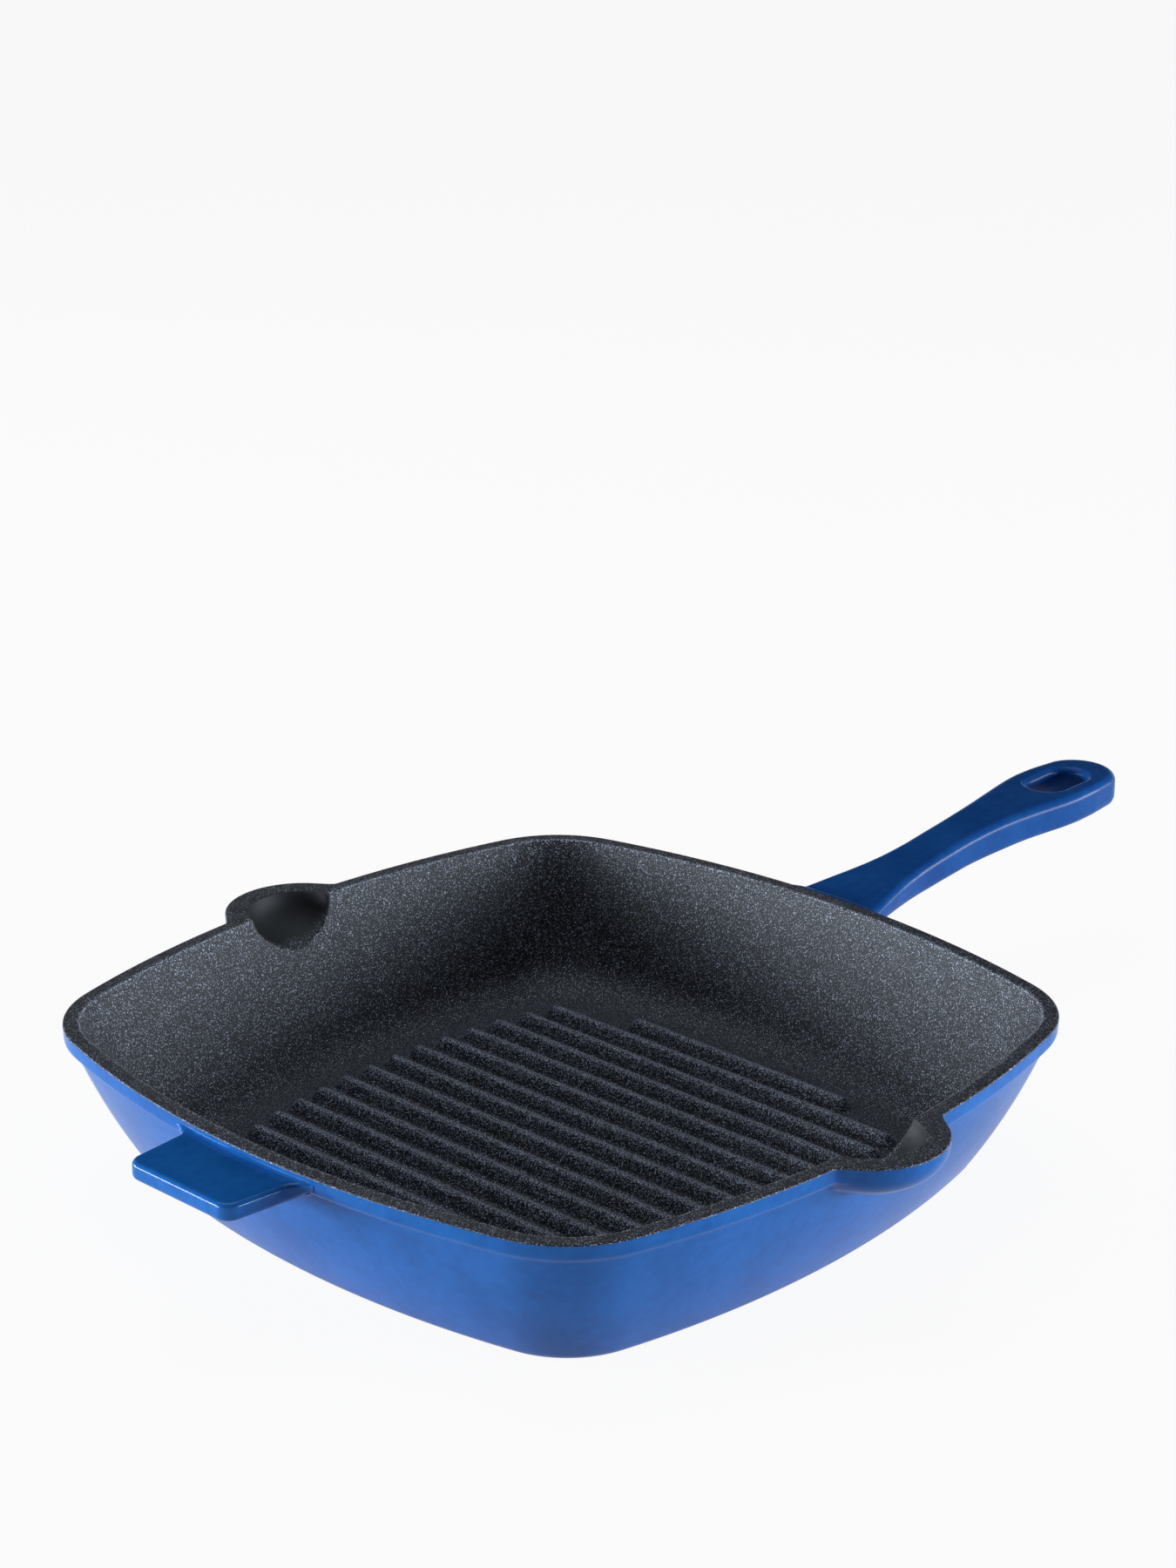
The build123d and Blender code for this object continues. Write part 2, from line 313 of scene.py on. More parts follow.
def blended(tree: Tree, share: object, first: object, second: object) -> Socket:
    """Two values mixed, with the second's share given."""
    links = {"Factor": share, "A": first, "B": second}
    return add_node(tree, "Mix", links, data_type="FLOAT").outputs[0]


def relief(tree: Tree, height: Socket, strength: float, depth_mm: float) -> Socket:
    """The normals of a surface that a height pattern roughens."""
    links = {"Height": height, "Strength": strength, "Distance": depth_mm * MM}
    return add_node(tree, "Bump", links).outputs["Normal"]


def show_surface(tree: Tree, kind: str, links: Links) -> None:
    """Adds a shader as the surface that the tree's material shows."""
    add_node(tree, "OutputMaterial", {"Surface": add_node(tree, kind, links).outputs[0]})


def new_material(name: str) -> Tuple[Material, Tree, Socket]:
    """A material with an empty tree, and the Object coordinates that its patterns read."""
    material = bpy.data.materials.new(name)
    material.use_nodes = True
    tree = material.node_tree
    tree.nodes.clear()
    place = add_node(tree, "TexCoord").outputs["Object"]
    return material, tree, place


@dataclass(frozen=True)
class BlueEnamel:
    """Glossy vitreous enamel, sprayed and fired: a deep even blue with faint clouds.

    The glass is slightly wavy like orange peel, which softens and breaks the highlights.
    """

    name: str = "blue_vitreous_enamel"
    deep: str = "#155AA8"
    clear: str = "#1D68BC"
    cloud_size: float = 26.0
    mottle_size: float = 3.2
    mottle_share: float = 0.35
    deep_below: float = 0.38
    clear_above: float = 0.62
    peel_size: float = 5.0
    peel_height: float = 0.3
    peel_strength: float = 0.12
    roughness: float = 0.13
    glass_ior: float = 1.34

    def build(self) -> Material:
        """Builds the enamel's material."""
        material, tree, place = new_material(self.name)
        clouds = noise(tree, place, self.cloud_size, detail=3.0)
        mottle = noise(tree, place, self.mottle_size, detail=2.0)
        peel = noise(tree, place, self.peel_size, detail=1.0)
        ramp = add_node(tree, "ValToRGB", {"Fac": blended(tree, self.mottle_share, clouds, mottle)})
        stops = ((self.deep_below, self.deep), (self.clear_above, self.clear))
        for stop, (position, colour) in zip(ramp.color_ramp.elements, stops):
            stop.position = position
            stop.color = linear(colour)
        show_surface(
            tree,
            "BsdfPrincipled",
            {
                "Base Color": ramp.outputs["Color"],
                "Roughness": self.roughness,
                "IOR": self.glass_ior,
                "Normal": relief(tree, peel, self.peel_strength, self.peel_height),
            },
        )
        return material


@dataclass(frozen=True)
class BlackEnamel:
    """Satin black vitreous enamel fired over the casting's grain.

    The grain is about half a millimetre, drawn a little coarser than the real one so that it
    shows: a fine bluish sparkle of lit facets. The channels and the rim's flat top have less of
    it and a softer sheen, as the glass pools there.
    """

    ground: str = "#191B1E"
    fleck: str = "#C0CEE8"
    grain_size: float = 0.45
    grain_softness: float = 0.6
    grain_height: float = 0.3
    crest_highlight_lift: float = 0.1
    fleck_from: float = 0.57
    fleck_full: float = 0.70
    grained_roughness: float = 0.42
    pooled_roughness: float = 0.60
    glass_ior: float = 1.47
    glass_tint: str = "#E1EFFF"

    def build(self) -> Material:
        """Builds the enamel's material."""
        material, tree, place = new_material("black_vitreous_enamel")
        glaze = add_node(tree, "Attribute", attribute_name="glaze").outputs["Fac"]
        crest = add_node(tree, "Attribute", attribute_name="crest").outputs["Fac"]
        grain = noise(tree, place, self.grain_size, detail=1.0, roughness=self.grain_softness)
        # Painted highlight: the crest attribute lifts the flecks on the ridge tops and along the
        # rim's inner edge, where light catches those edges.
        raised = calculate(tree, "MULTIPLY_ADD", crest, self.crest_highlight_lift, grain)
        limits = {"Value": raised, "From Min": self.fleck_from, "From Max": self.fleck_full}
        flecks = add_node(tree, "MapRange", limits).outputs[0]
        bare = calculate(tree, "SUBTRACT", 1.0, glaze)
        shown = calculate(tree, "MULTIPLY", flecks, bare)
        colour = add_node(
            tree,
            "Mix",
            {"Factor": shown, "A": linear(self.ground), "B": linear(self.fleck)},
            data_type="RGBA",
        )
        height = calculate(tree, "MULTIPLY", grain, bare)
        show_surface(
            tree,
            "BsdfPrincipled",
            {
                "Base Color": colour.outputs[2],
                "Roughness": blended(tree, glaze, self.grained_roughness, self.pooled_roughness),
                "IOR": self.glass_ior,
                "Specular Tint": linear(self.glass_tint),
                "Normal": relief(tree, height, 1.0, self.grain_height),
            },
        )
        return material


@dataclass
class Finishes:
    """The pan's finishes, built once and shared by its pieces."""

    blue: Material
    shaded_blue: Material
    black: Material

    @classmethod
    def build(cls) -> "Finishes":
        """Builds the finishes."""
        # The long handle's blue is painted darker than the pan's, as painted shade where less light
        # falls on it; its coat is also given a more satin, less mirror-like finish.
        shaded_blue = BlueEnamel(
            name="thick_blue_vitreous_enamel",
            deep="#13468A",
            clear="#1A5199",
            roughness=0.27,
            glass_ior=1.22,
        )
        return cls(BlueEnamel().build(), shaded_blue.build(), BlackEnamel().build())


def dress(piece: Piece, material: Material, nodes: Sequence[str]) -> None:
    """Gives a piece its finish and its place in the frame.

    Args:
        piece: the finished mesh.
        material: the finish.
        nodes: the CAD nodes that the piece stands for.
    """
    piece.data.materials.clear()
    piece.data.materials.append(material)
    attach(piece, BODY)
    if nodes:
        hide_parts(*nodes)
    log.info("%s: %d faces", piece.name, len(piece.data.polygons))


# The pan's body.


@dataclass(frozen=True)
class Ring:
    """One level outline of the body: how far in it lies, how high, and how far its spouts grow."""

    inset: float
    level: float
    growth: float = 0.0


@dataclass
class PanForm:
    """The body's shared form: an arched square with a round spout on each side."""

    height: float = 51.0
    half_width: float = 130.0
    bow_radius: float = 338.5
    corner_radius: float = 37.7
    corner_growth: float = 16.9
    least_corner_radius: float = 1.0
    wall_arch_radius: float = 187.8
    arch_inset: float = 180.2
    arch_level: float = 106.1
    cavity_arch_radius: float = 183.6
    foot_radius: float = 8.1
    floor_turn_radius: float = 18.0
    floor_level: float = 5.0
    collar_height: float = 5.7
    collar_edge_radius: float = 1.7
    spout_centre: float = 120.8
    spout_radius: float = 23.95
    spout_depth: float = 15.2
    channel_radius: float = 16.4
    channel_depth: float = 13.8
    channel_fullness: float = 0.75
    lip_height: float = 2.0
    spout_blend: float = 5.5
    channel_blend: float = 1.8
    blend_share: float = 0.45
    columns: int = 640
    spout_density: float = 3.5
    outline_steps: int = 14401
    turn_steps: int = 12
    wall_steps: int = 15
    bowl_steps: int = 19
    least_turn_rise: float = 0.05
    least_level_gap: float = 0.12

    def __post_init__(self) -> None:
        """Spreads the columns along the rim's own outline, closer together round the spouts."""
        fine = np.linspace(0.0, 2 * math.pi, self.outline_steps)
        radius = self.outside(fine, Ring(0.0, self.height))
        x = radius * np.cos(fine)
        y = radius * np.sin(fine)
        step = np.hypot(np.diff(x), np.diff(y))
        near_spout = np.abs(x[1:]) < self.spout_radius + self.spout_blend
        weight = np.where(near_spout, self.spout_density, 1.0)
        length = running_length(step * weight)
        wanted = np.linspace(0.0, length[-1], self.columns + 1)[:-1]
        self.directions = np.interp(wanted, length, fine)

    def outline(self, direction: Array, ring: Ring) -> Array:
        """How far the arched square reaches in each direction.

        Args:
            direction: angles about the pan's upright axis.
            ring: the level outline.

        Returns:
            The distance from the axis in each direction.
        """
        depth_share = (self.height - ring.level) / self.height
        half = self.half_width - ring.inset
        bow = self.bow_radius - ring.inset
        corner = self.corner_radius - ring.inset + self.corner_growth * depth_share
        corner = max(corner, self.least_corner_radius)
        side_centre = half - bow
        reach = bow - corner
        corner_centre = (side_centre + math.sqrt(2 * reach**2 - side_centre**2)) / 2
        meeting = math.atan2(corner_centre, corner_centre - side_centre)
        switch = math.atan2(bow * math.sin(meeting), side_centre + bow * math.cos(meeting))
        folded = np.abs((direction + math.pi / 4) % (math.pi / 2) - math.pi / 4)
        along_side = side_centre * np.cos(folded)
        side = along_side + np.sqrt(bow**2 - (side_centre * np.sin(folded)) ** 2)
        along_corner = corner_centre * (np.cos(folded) + np.sin(folded))
        round_corner = along_corner + np.sqrt(
            np.maximum(corner**2 - 2 * corner_centre**2 + along_corner**2, 0.0)
        )
        return np.where(folded < switch, side, round_corner)

    def with_bowls(self, direction: Array, ring: Ring, radius: float, widest: float) -> Array:
        """A level outline, blended into a round bowl on each side.

        Args:
            direction: angles about the pan's upright axis.
            ring: the level outline.
            radius: the bowl's radius at that level, or zero below it.
            widest: how wide the blend is where the bowl is large.

        Returns:
            The distance from the axis in each direction.
        """
        wall = self.outline(direction, ring)
        if radius <= 0.0:
            return wall
        across = self.spout_centre * np.cos(direction)
        inside = (radius + ring.growth) ** 2 - across**2
        past_centre = np.sign(inside) * np.sqrt(np.abs(inside))
        bowl = self.spout_centre * np.abs(np.sin(direction)) + past_centre
        blend = min(widest, self.blend_share * radius)
        return smooth_max(wall, bowl, np.full_like(wall, blend))

    def outside(self, direction: Array, ring: Ring) -> Array:
        """The body's outer reach: its wall or collar, blended into the spouts' bowls."""
        below = max(0.0, self.height - self.lip_height - ring.level)
        share = min(1.0, below / (self.spout_depth - self.lip_height))
        radius = self.spout_radius * math.sqrt(1 - share**2)
        return self.with_bowls(direction, ring, radius, self.spout_blend)

    def inside(self, direction: Array, ring: Ring) -> Array:
        """The cavity's reach: its wall, blended into the channels, which narrow downwards."""
        share = min(1.0, (self.height - ring.level) / self.channel_depth)
        radius = self.channel_radius * (1 - share**2) ** self.channel_fullness
        return self.with_bowls(direction, ring, radius, self.channel_blend)

    def points(self, radius: Array, level: Array) -> Array:
        """Points at a distance from the axis in each of the columns' directions."""
        x = radius * np.cos(self.directions)
        y = radius * np.sin(self.directions)
        z = np.broadcast_to(level, x.shape)
        return np.stack([x, y, z], axis=-1)

    def disc_rows(self, edge: Array, level: float, shares: Sequence[float]) -> List[Array]:
        """Level rows inside an outline, one at each share of its reach."""
        return [self.points(edge * share, level) for share in shares]

    def outer_row(self, ring: Ring, level: float) -> Array:
        """A row along the body's outside, drawn at a level of its own."""
        return self.points(self.outside(self.directions, ring), level)

    def inner_rows(self, rings: Sequence[Ring], highest: float) -> List[Array]:
        """Rows along the cavity, none of them above the highest level."""
        return [
            self.points(self.inside(self.directions, ring), min(ring.level, highest))
            for ring in rings
        ]

    def arc_rings(
        self, wall_radius: float, turn_radius: float, flat: float, tops: Sequence[float]
    ) -> List[Ring]:
        """Rings from a flat up round its turn and on up the arched wall.

        Args:
            wall_radius: the wall arch's radius.
            turn_radius: the radius of the turn onto the flat.
            flat: the flat's level.
            tops: the wall's levels, rising, above the turn.

        Returns:
            The rings, from the flat's edge upwards.
        """
        drop = self.arch_level - flat - turn_radius
        centre_inset = self.arch_inset - math.sqrt((wall_radius - turn_radius) ** 2 - drop**2)
        centre_level = flat + turn_radius
        last = math.atan2(drop, self.arch_inset - centre_inset)
        rings = []
        for angle in np.linspace(math.pi / 2, last, self.turn_steps):
            inset = centre_inset - turn_radius * math.cos(angle)
            rings.append(Ring(inset, centre_level - turn_radius * math.sin(angle)))
        for level in tops:
            if level > rings[-1].level + self.least_turn_rise:
                rings.append(Ring(self.wall_inset(wall_radius, level), level))
        return rings

    def wall_inset(self, wall_radius: float, level: float) -> float:
        """How far in the arched wall lies at a level."""
        return self.arch_inset - math.sqrt(wall_radius**2 - (self.arch_level - level) ** 2)

    def wall_levels(self, low: float, high: float, bowl_depth: float) -> List[float]:
        """Levels up a wall, closer together where a spout's bowl turns under."""
        lip = self.height - self.lip_height
        bowl_bottom = self.height - bowl_depth
        levels = list(np.linspace(low, high, self.wall_steps))
        for angle in quarter_turn(self.bowl_steps):
            levels.append(lip - (lip - bowl_bottom) * math.cos(angle))
        kept = sorted(level for level in levels if low <= level <= high)
        spaced = [kept[0]]
        for level in kept[1:]:
            if level - spaced[-1] > self.least_level_gap:
                spaced.append(level)
        return spaced


@dataclass
class BlueShell:
    """The casting in its blue coat: base, foot, arched wall, collar, rim edge and spouts."""

    form: PanForm
    rim_edge_radius: float = 0.2
    crease_radius: float = 0.7
    sink: float = 0.45
    ledge_inset: float = 1.3
    small_turn_steps: int = 5
    collar_turn_steps: int = 9
    base_shares: Tuple[float, ...] = (0.0, 0.3, 0.6, 0.85, 0.97)
    inner_shares: Tuple[float, ...] = (0.6, 0.3, 0.0)
    nodes: Tuple[str, ...] = (
        "base_enamel",
        "wall_enamel",
        "floor_plate",
        "handle_side_wall",
        "left_side_wall",
        "tab_side_wall",
        "right_side_wall",
        "rim_collar_tab_side",
        "rim_collar_handle_side",
        "spout_left",
        "spout_right",
    )

    def collar_rings(self) -> List[Ring]:
        """Rings from the wall out under the collar, up its face and over the rim's edge."""
        form = self.form
        under = form.height - form.collar_height
        wall = form.wall_inset(form.wall_arch_radius, under)
        rings = []
        for to_end, from_start in round_turn(self.crease_radius, self.small_turn_steps):
            rings.append(Ring(wall - from_start, under - to_end))
        edge = form.collar_edge_radius
        for to_end, from_start in round_turn(edge, self.collar_turn_steps):
            rings.append(Ring(to_end, under + from_start))
        top_edge = form.height - self.sink - self.rim_edge_radius
        for level in np.linspace(under + edge, top_edge, self.small_turn_steps)[1:-1]:
            rings.append(Ring(0.0, level))
        for angle in quarter_turn(self.small_turn_steps):
            inset = self.rim_edge_radius * (1 - math.cos(angle))
            rings.append(Ring(inset, top_edge + self.rim_edge_radius * math.sin(angle), -inset))
        return rings

    def build(self) -> Piece:
        """Builds the closed shell, whose inside lies just behind the black lining."""
        form = self.form
        under = form.height - form.collar_height - self.crease_radius
        levels = form.wall_levels(form.foot_radius, under, form.spout_depth)
        rings = form.arc_rings(form.wall_arch_radius, form.foot_radius, 0.0, levels)
        rings += self.collar_rings()
        rows = form.disc_rows(form.outside(form.directions, rings[0]), 0.0, self.base_shares)
        rows += [form.outer_row(ring, ring.level) for ring in rings]
        lining = CookingSurface(form).wall_rings(self.sink)
        ledge = form.height - self.sink
        rows.append(form.outer_row(Ring(self.ledge_inset, form.height, -self.ledge_inset), ledge))
        rows += form.inner_rows(lining[::-1], ledge)
        inner_flat = form.inside(form.directions, lining[0])
        rows += form.disc_rows(inner_flat, lining[0].level, self.inner_shares)
        return woven_grid("blue_casting", rows, wraps=True)


@dataclass
class CookingSurface:
    """The black coat inside: floor, turned-up walls, the two channels and the rim's flat top."""

    form: PanForm
    inner_edge_radius: float = 0.9
    channel_edge_share: float = 1.2
    outer_edge_radius: float = 0.7
    thickness: float = 0.35
    wrap: float = 0.2
    rim_glaze: float = 0.35
    wall_start: float = 4.0
    edge_steps: int = 8
    outer_edge_steps: int = 6
    edge_skin_angle: float = 0.8
    floor_shares: Tuple[float, ...] = (0.0, 0.25, 0.5, 0.75, 0.93)
    rim_shares: Tuple[float, ...] = (0.2, 0.4, 0.6, 0.8, 1.0)
    back_shares: Tuple[float, ...] = (0.6, 0.3, 0.0)
    back_insets: Tuple[float, float] = (0.3, 0.5)
    side_fade: float = 1.5
    bottom_fade: float = 2.0
    mouth_fade: float = 4.0
    rim_band: Tuple[float, float] = (-0.25, 0.2)
    edge_highlight_band: Tuple[float, float] = (-0.7, 0.4)
    edge_highlight_reach: float = 0.96
    edge_highlight_fade: float = 0.6
    nodes: Tuple[str, ...] = ("lining_enamel", "rim_enamel")

    def wall_rings(self, skin: float) -> List[Ring]:
        """Rings from the floor's edge up to the rim's inner edge.

        Args:
            skin: how far behind the coat's own surface the rings lie.

        Returns:
            The rings, from the floor upwards.
        """
        form = self.form
        edge = self.inner_edge_radius
        top = form.height - edge
        wall_radius = form.cavity_arch_radius + skin
        low = form.floor_level + form.floor_turn_radius - self.wall_start
        levels = form.wall_levels(low, top, form.channel_depth)
        flat = form.floor_level - skin
        rings = form.arc_rings(wall_radius, form.floor_turn_radius + skin, flat, levels)
        rings = [Ring(ring.inset, ring.level, skin) for ring in rings]
        for angle in quarter_turn(self.edge_steps)[1:]:
            lowered = skin if angle > self.edge_skin_angle else 0.0
            level = top + edge * math.sin(angle) - lowered * math.sin(angle)
            inset = form.wall_inset(wall_radius, top) - edge * (1 - math.cos(angle))
            growth = skin + self.channel_edge_share * edge * (1 - math.cos(angle))
            rings.append(Ring(inset, level, growth))
        return rings

    def build(self) -> Piece:
        """Builds the closed skin, and marks where its glaze is smooth."""
        form = self.form
        rings = self.wall_rings(0.0)
        flat = form.inside(form.directions, rings[0])
        rows = form.disc_rows(flat, form.floor_level, self.floor_shares)
        rows += form.inner_rows(rings, form.height)
        inner = form.inside(form.directions, rings[-1])
        edge = self.outer_edge_radius
        flat_end = form.outside(form.directions, Ring(edge, form.height, -edge))
        for share in self.rim_shares:
            rows.append(form.points(inner + share * (flat_end - inner), form.height))
        drop = self.thickness + self.wrap
        for inset, turned in round_turn(edge, self.outer_edge_steps)[1:]:
            level = form.height - drop * turned / edge
            rows.append(form.outer_row(Ring(inset, level, -inset), level))
        backing = self.wall_rings(self.thickness)
        under = form.height - self.thickness
        for inset, level in zip(self.back_insets, (form.height - drop, under)):
            rows.append(form.outer_row(Ring(inset, under, -inset), level))
        rows += form.inner_rows(backing[::-1], under)
        behind = form.inside(form.directions, backing[0])
        rows += form.disc_rows(behind, backing[0].level, self.back_shares)
        piece = woven_grid("black_lining", rows, wraps=True)
        self.mark_glaze(piece)
        return piece

    def mark_glaze(self, piece: Piece) -> None:
        """Writes glaze in the channels and on the rim, and crest, a painted highlight, along the
        inner edge.
        """
        form = self.form
        x, y, z = coordinates(piece).T
        above_rim = z - form.height
        ring = Ring(form.wall_inset(form.cavity_arch_radius, form.height), form.height)
        past_edge = np.hypot(x, y) - form.outline(np.arctan2(y, x), ring)
        in_channel = form.channel_radius - np.hypot(x, np.abs(y) - form.spout_centre)
        channel = ramp_up(in_channel, -self.side_fade, self.side_fade)
        channel *= ramp_up(above_rim, -form.channel_depth, self.bottom_fade)
        channel *= ramp_up(past_edge, -self.mouth_fade, self.mouth_fade)
        top = self.rim_glaze * ramp_up(above_rim, *self.rim_band)
        mark(piece, "glaze", np.maximum(channel, top))
        # Painted highlight along the rim's inner edge, where its rounding catches light.
        edge_highlight = ramp_up(above_rim, *self.edge_highlight_band)
        edge_highlight *= ramp_up(-np.abs(past_edge), -self.edge_highlight_reach, self.edge_highlight_fade)
        mark(piece, "crest", edge_highlight)


@dataclass
class GrillRidge:
    """One ridge: a round crest on leaning flanks that flow into the floor, with domed ends."""

    crest_radius: float = 2.1
    flank_lean: float = 35.0
    crest_level: float = 9.0
    floor_level: float = 5.0
    foot_radius: float = 1.6
    sink: float = 0.12
    skirt: float = 0.4
    foot_dip: float = 0.02
    root_depth: float = 0.3
    foot_steps: int = 6
    crest_steps: int = 8
    end_columns: int = 14
    side_columns: int = 24

    def section(self) -> List[Tuple[float, float]]:
        """Half widths and levels from under the floor, up the flank and over the crest."""
        lean = math.radians(self.flank_lean)
        centre = self.crest_level - self.crest_radius
        shoulder = (self.crest_radius * math.cos(lean), centre + self.crest_radius * math.sin(lean))
        slope = math.tan(lean)
        turn = math.pi / 2 - lean
        tangent_level = self.floor_level + self.foot_radius * (1 - math.cos(turn))
        tangent_width = shoulder[0] + (shoulder[1] - tangent_level) * slope
        hollow_x = tangent_width + self.foot_radius * math.sin(turn)
        section = [(hollow_x + self.skirt, self.floor_level - self.sink)]
        for angle in np.linspace(0.0, turn, self.foot_steps):
            width = hollow_x - self.foot_radius * math.sin(angle)
            rise = self.foot_radius * (1 - math.cos(angle))
            section.append((width, self.floor_level - self.foot_dip + rise))
        for angle in np.linspace(lean, math.pi / 2, self.crest_steps):
            width = self.crest_radius * math.cos(angle)
            section.append((width, centre + self.crest_radius * math.sin(angle)))
        return section

    def build(self, name: str, x: float, half_length: float) -> Piece:
        """Builds a ridge.

        Args:
            name: the piece's name.
            x: the ridge's place across the pan.
            half_length: how far its foot runs each way.

        Returns:
            The ridge, with its crest marked.
        """
        section = self.section()
        straight = half_length - section[1][0]
        ends = np.linspace(0.0, math.pi, self.end_columns)
        sides = np.linspace(straight, -straight, self.side_columns)[1:-1]
        root_level = self.floor_level - self.root_depth
        root = [(0.0, root_level), (section[0][0], root_level)]
        rows = []
        for width, level in root + section:
            end = np.column_stack([width * np.cos(ends), straight + width * np.sin(ends)])
            side = np.column_stack([np.full(len(sides), -width), sides])
            half = np.concatenate([end, side])
            plan = np.concatenate([half, -half])
            rows.append(np.column_stack([plan[:, 0] + x, plan[:, 1], np.full(len(plan), level)]))
        piece = woven_grid(name, rows, wraps=True)
        # Painted highlight: the grain's flecks are lifted along the ridge's top, where light
        # catches it.
        centre = self.crest_level - self.crest_radius
        mark(piece, "crest", ramp_up(coordinates(piece)[:, 2], centre, self.crest_radius))
        return piece


@dataclass
class RidgeField:
    """The sixteen parallel ridges, whose ends follow an arched square."""

    count: int = 16
    pitch: float = 10.9
    half_width: float = 86.5
    bow_radius: float = 250.0

    def build(self, finishes: Finishes) -> None:
        """Builds and dresses every ridge."""
        spread = self.bow_radius - self.half_width
        for index in range(self.count):
            x = (index - (self.count - 1) / 2) * self.pitch
            end_side = math.sqrt(self.bow_radius**2 - x**2) - spread
            far_side = math.sqrt(self.bow_radius**2 - (abs(x) + spread) ** 2)
            name = f"ridge_{index + 1:02d}"
            piece = GrillRidge().build(name, x, min(end_side, far_side))
            dress(piece, finishes.black, [f"grill_ridge_{index + 1:02d}"])


# The handles.


@dataclass(frozen=True)
class SkinSizes:
    """How a handle's rounded skin is divided, and how its root flows into the collar."""

    top_radius: float
    under_radius: float
    root_radius: float
    root_lift: float
    side_flow: float = 1.0
    root_face: float = 130.0
    under_face: float = 126.8
    across: int = 9
    around: int = 8
    up: int = 4


def root_flow(distance: Array, radius: float) -> Array:
    """How far a rounded inner corner stands out at each distance from the face it flows into."""
    reach = np.clip(radius - distance, 0.0, radius)
    return radius - np.sqrt(radius**2 - reach**2)


def loft_half(
    outer: Array, inner: Array, top: Curve, under: Curve, sizes: SkinSizes, direction: float
) -> List[Array]:
    """Half of a handle's skin, from its middle line over the top, round its edge and back under.

    Args:
        outer: plan points along the handle's own edge, from root to end.
        inner: the plan point of the middle line, or of the hole's mouth, that faces each.
        top: the top's level along X.
        under: the underside's level along X.
        sizes: the skin's sizes.
        direction: +1 for a handle on +X, -1 for one on -X.

    Returns:
        One row of points for each station along the handle.
    """
    along = np.gradient(outer, axis=0)
    along /= np.linalg.norm(along, axis=1)[:, None]
    normal = np.column_stack([-along[:, 1], along[:, 0]])
    normal *= np.where(np.sum(normal * (outer - inner), axis=1) > 0, 1.0, -1.0)[:, None]
    flow = root_flow(outer[:, 0] * direction - sizes.root_face, sizes.root_radius)
    under_flow = root_flow(outer[:, 0] * direction - sizes.under_face, sizes.root_radius)
    outer = outer + normal * flow[:, None] * sizes.side_flow
    lift = np.minimum(flow, sizes.root_lift)
    columns: List[Array] = []

    def place(plan: Array, curve: Curve, shift: Array) -> None:
        """Adds one point to every station, at a shift from the curve's level."""
        columns.append(np.column_stack([plan, curve(plan[:, 0] * direction) + shift]))

    start_top = outer - normal * sizes.top_radius
    for share in np.linspace(0.0, 1.0, sizes.across):
        place(inner + share * (start_top - inner), top, lift)
    for angle in quarter_turn(sizes.around)[1:]:
        drop = sizes.top_radius * (1 - math.cos(angle))
        place(start_top + normal * sizes.top_radius * math.sin(angle), top, lift - drop)
    start_under = outer - normal * sizes.under_radius
    high = columns[-1][:, 2]
    low = under(outer[:, 0] * direction) - under_flow + sizes.under_radius
    for share in np.linspace(0.0, 1.0, sizes.up)[1:-1]:
        columns.append(np.column_stack([outer, high + share * (low - high)]))
    for angle in quarter_turn(sizes.around)[::-1]:
        rise = sizes.under_radius * (1 - math.cos(angle))
        place(start_under + normal * sizes.under_radius * math.sin(angle), under, rise - under_flow)
    for share in np.linspace(1.0, 0.0, sizes.across)[1:]:
        place(inner + share * (start_under - inner), under, -under_flow)
    return list(np.stack(columns, axis=1))


def interpolated(plan: Array, length: Array, wanted: Array) -> Array:
    """The plan points at the wanted lengths along a curve."""
    return np.column_stack([np.interp(wanted, length, plan[:, k]) for k in range(2)])


def even_points(plan: Array, spacing: Array) -> Array:
    """Points spread along a plan curve.

    Args:
        plan: closely spaced points along the curve.
        spacing: the wanted spacing at each of them.

    Returns:
        The curve's points at about that spacing, both ends included.
    """
    length = running_length(step_lengths(plan) / spacing[1:])
    wanted = np.linspace(0.0, length[-1], int(round(length[-1])) + 1)
    return interpolated(plan, length, wanted)


def close_root(rows: List[Array]) -> List[Array]:
    """Adds a row that gathers the root's open end to one point, inside the pan's body."""
    middle = rows[0].mean(axis=0)
    middle[1] = 0.0
    return [np.repeat(middle[None, :], len(rows[0]), axis=0)] + rows


def mirrored(rows: Sequence[Array]) -> List[Array]:
    """The same rows on the other side of the pan's middle plane."""
    return [row * np.array([1.0, -1.0, 1.0]) for row in rows]


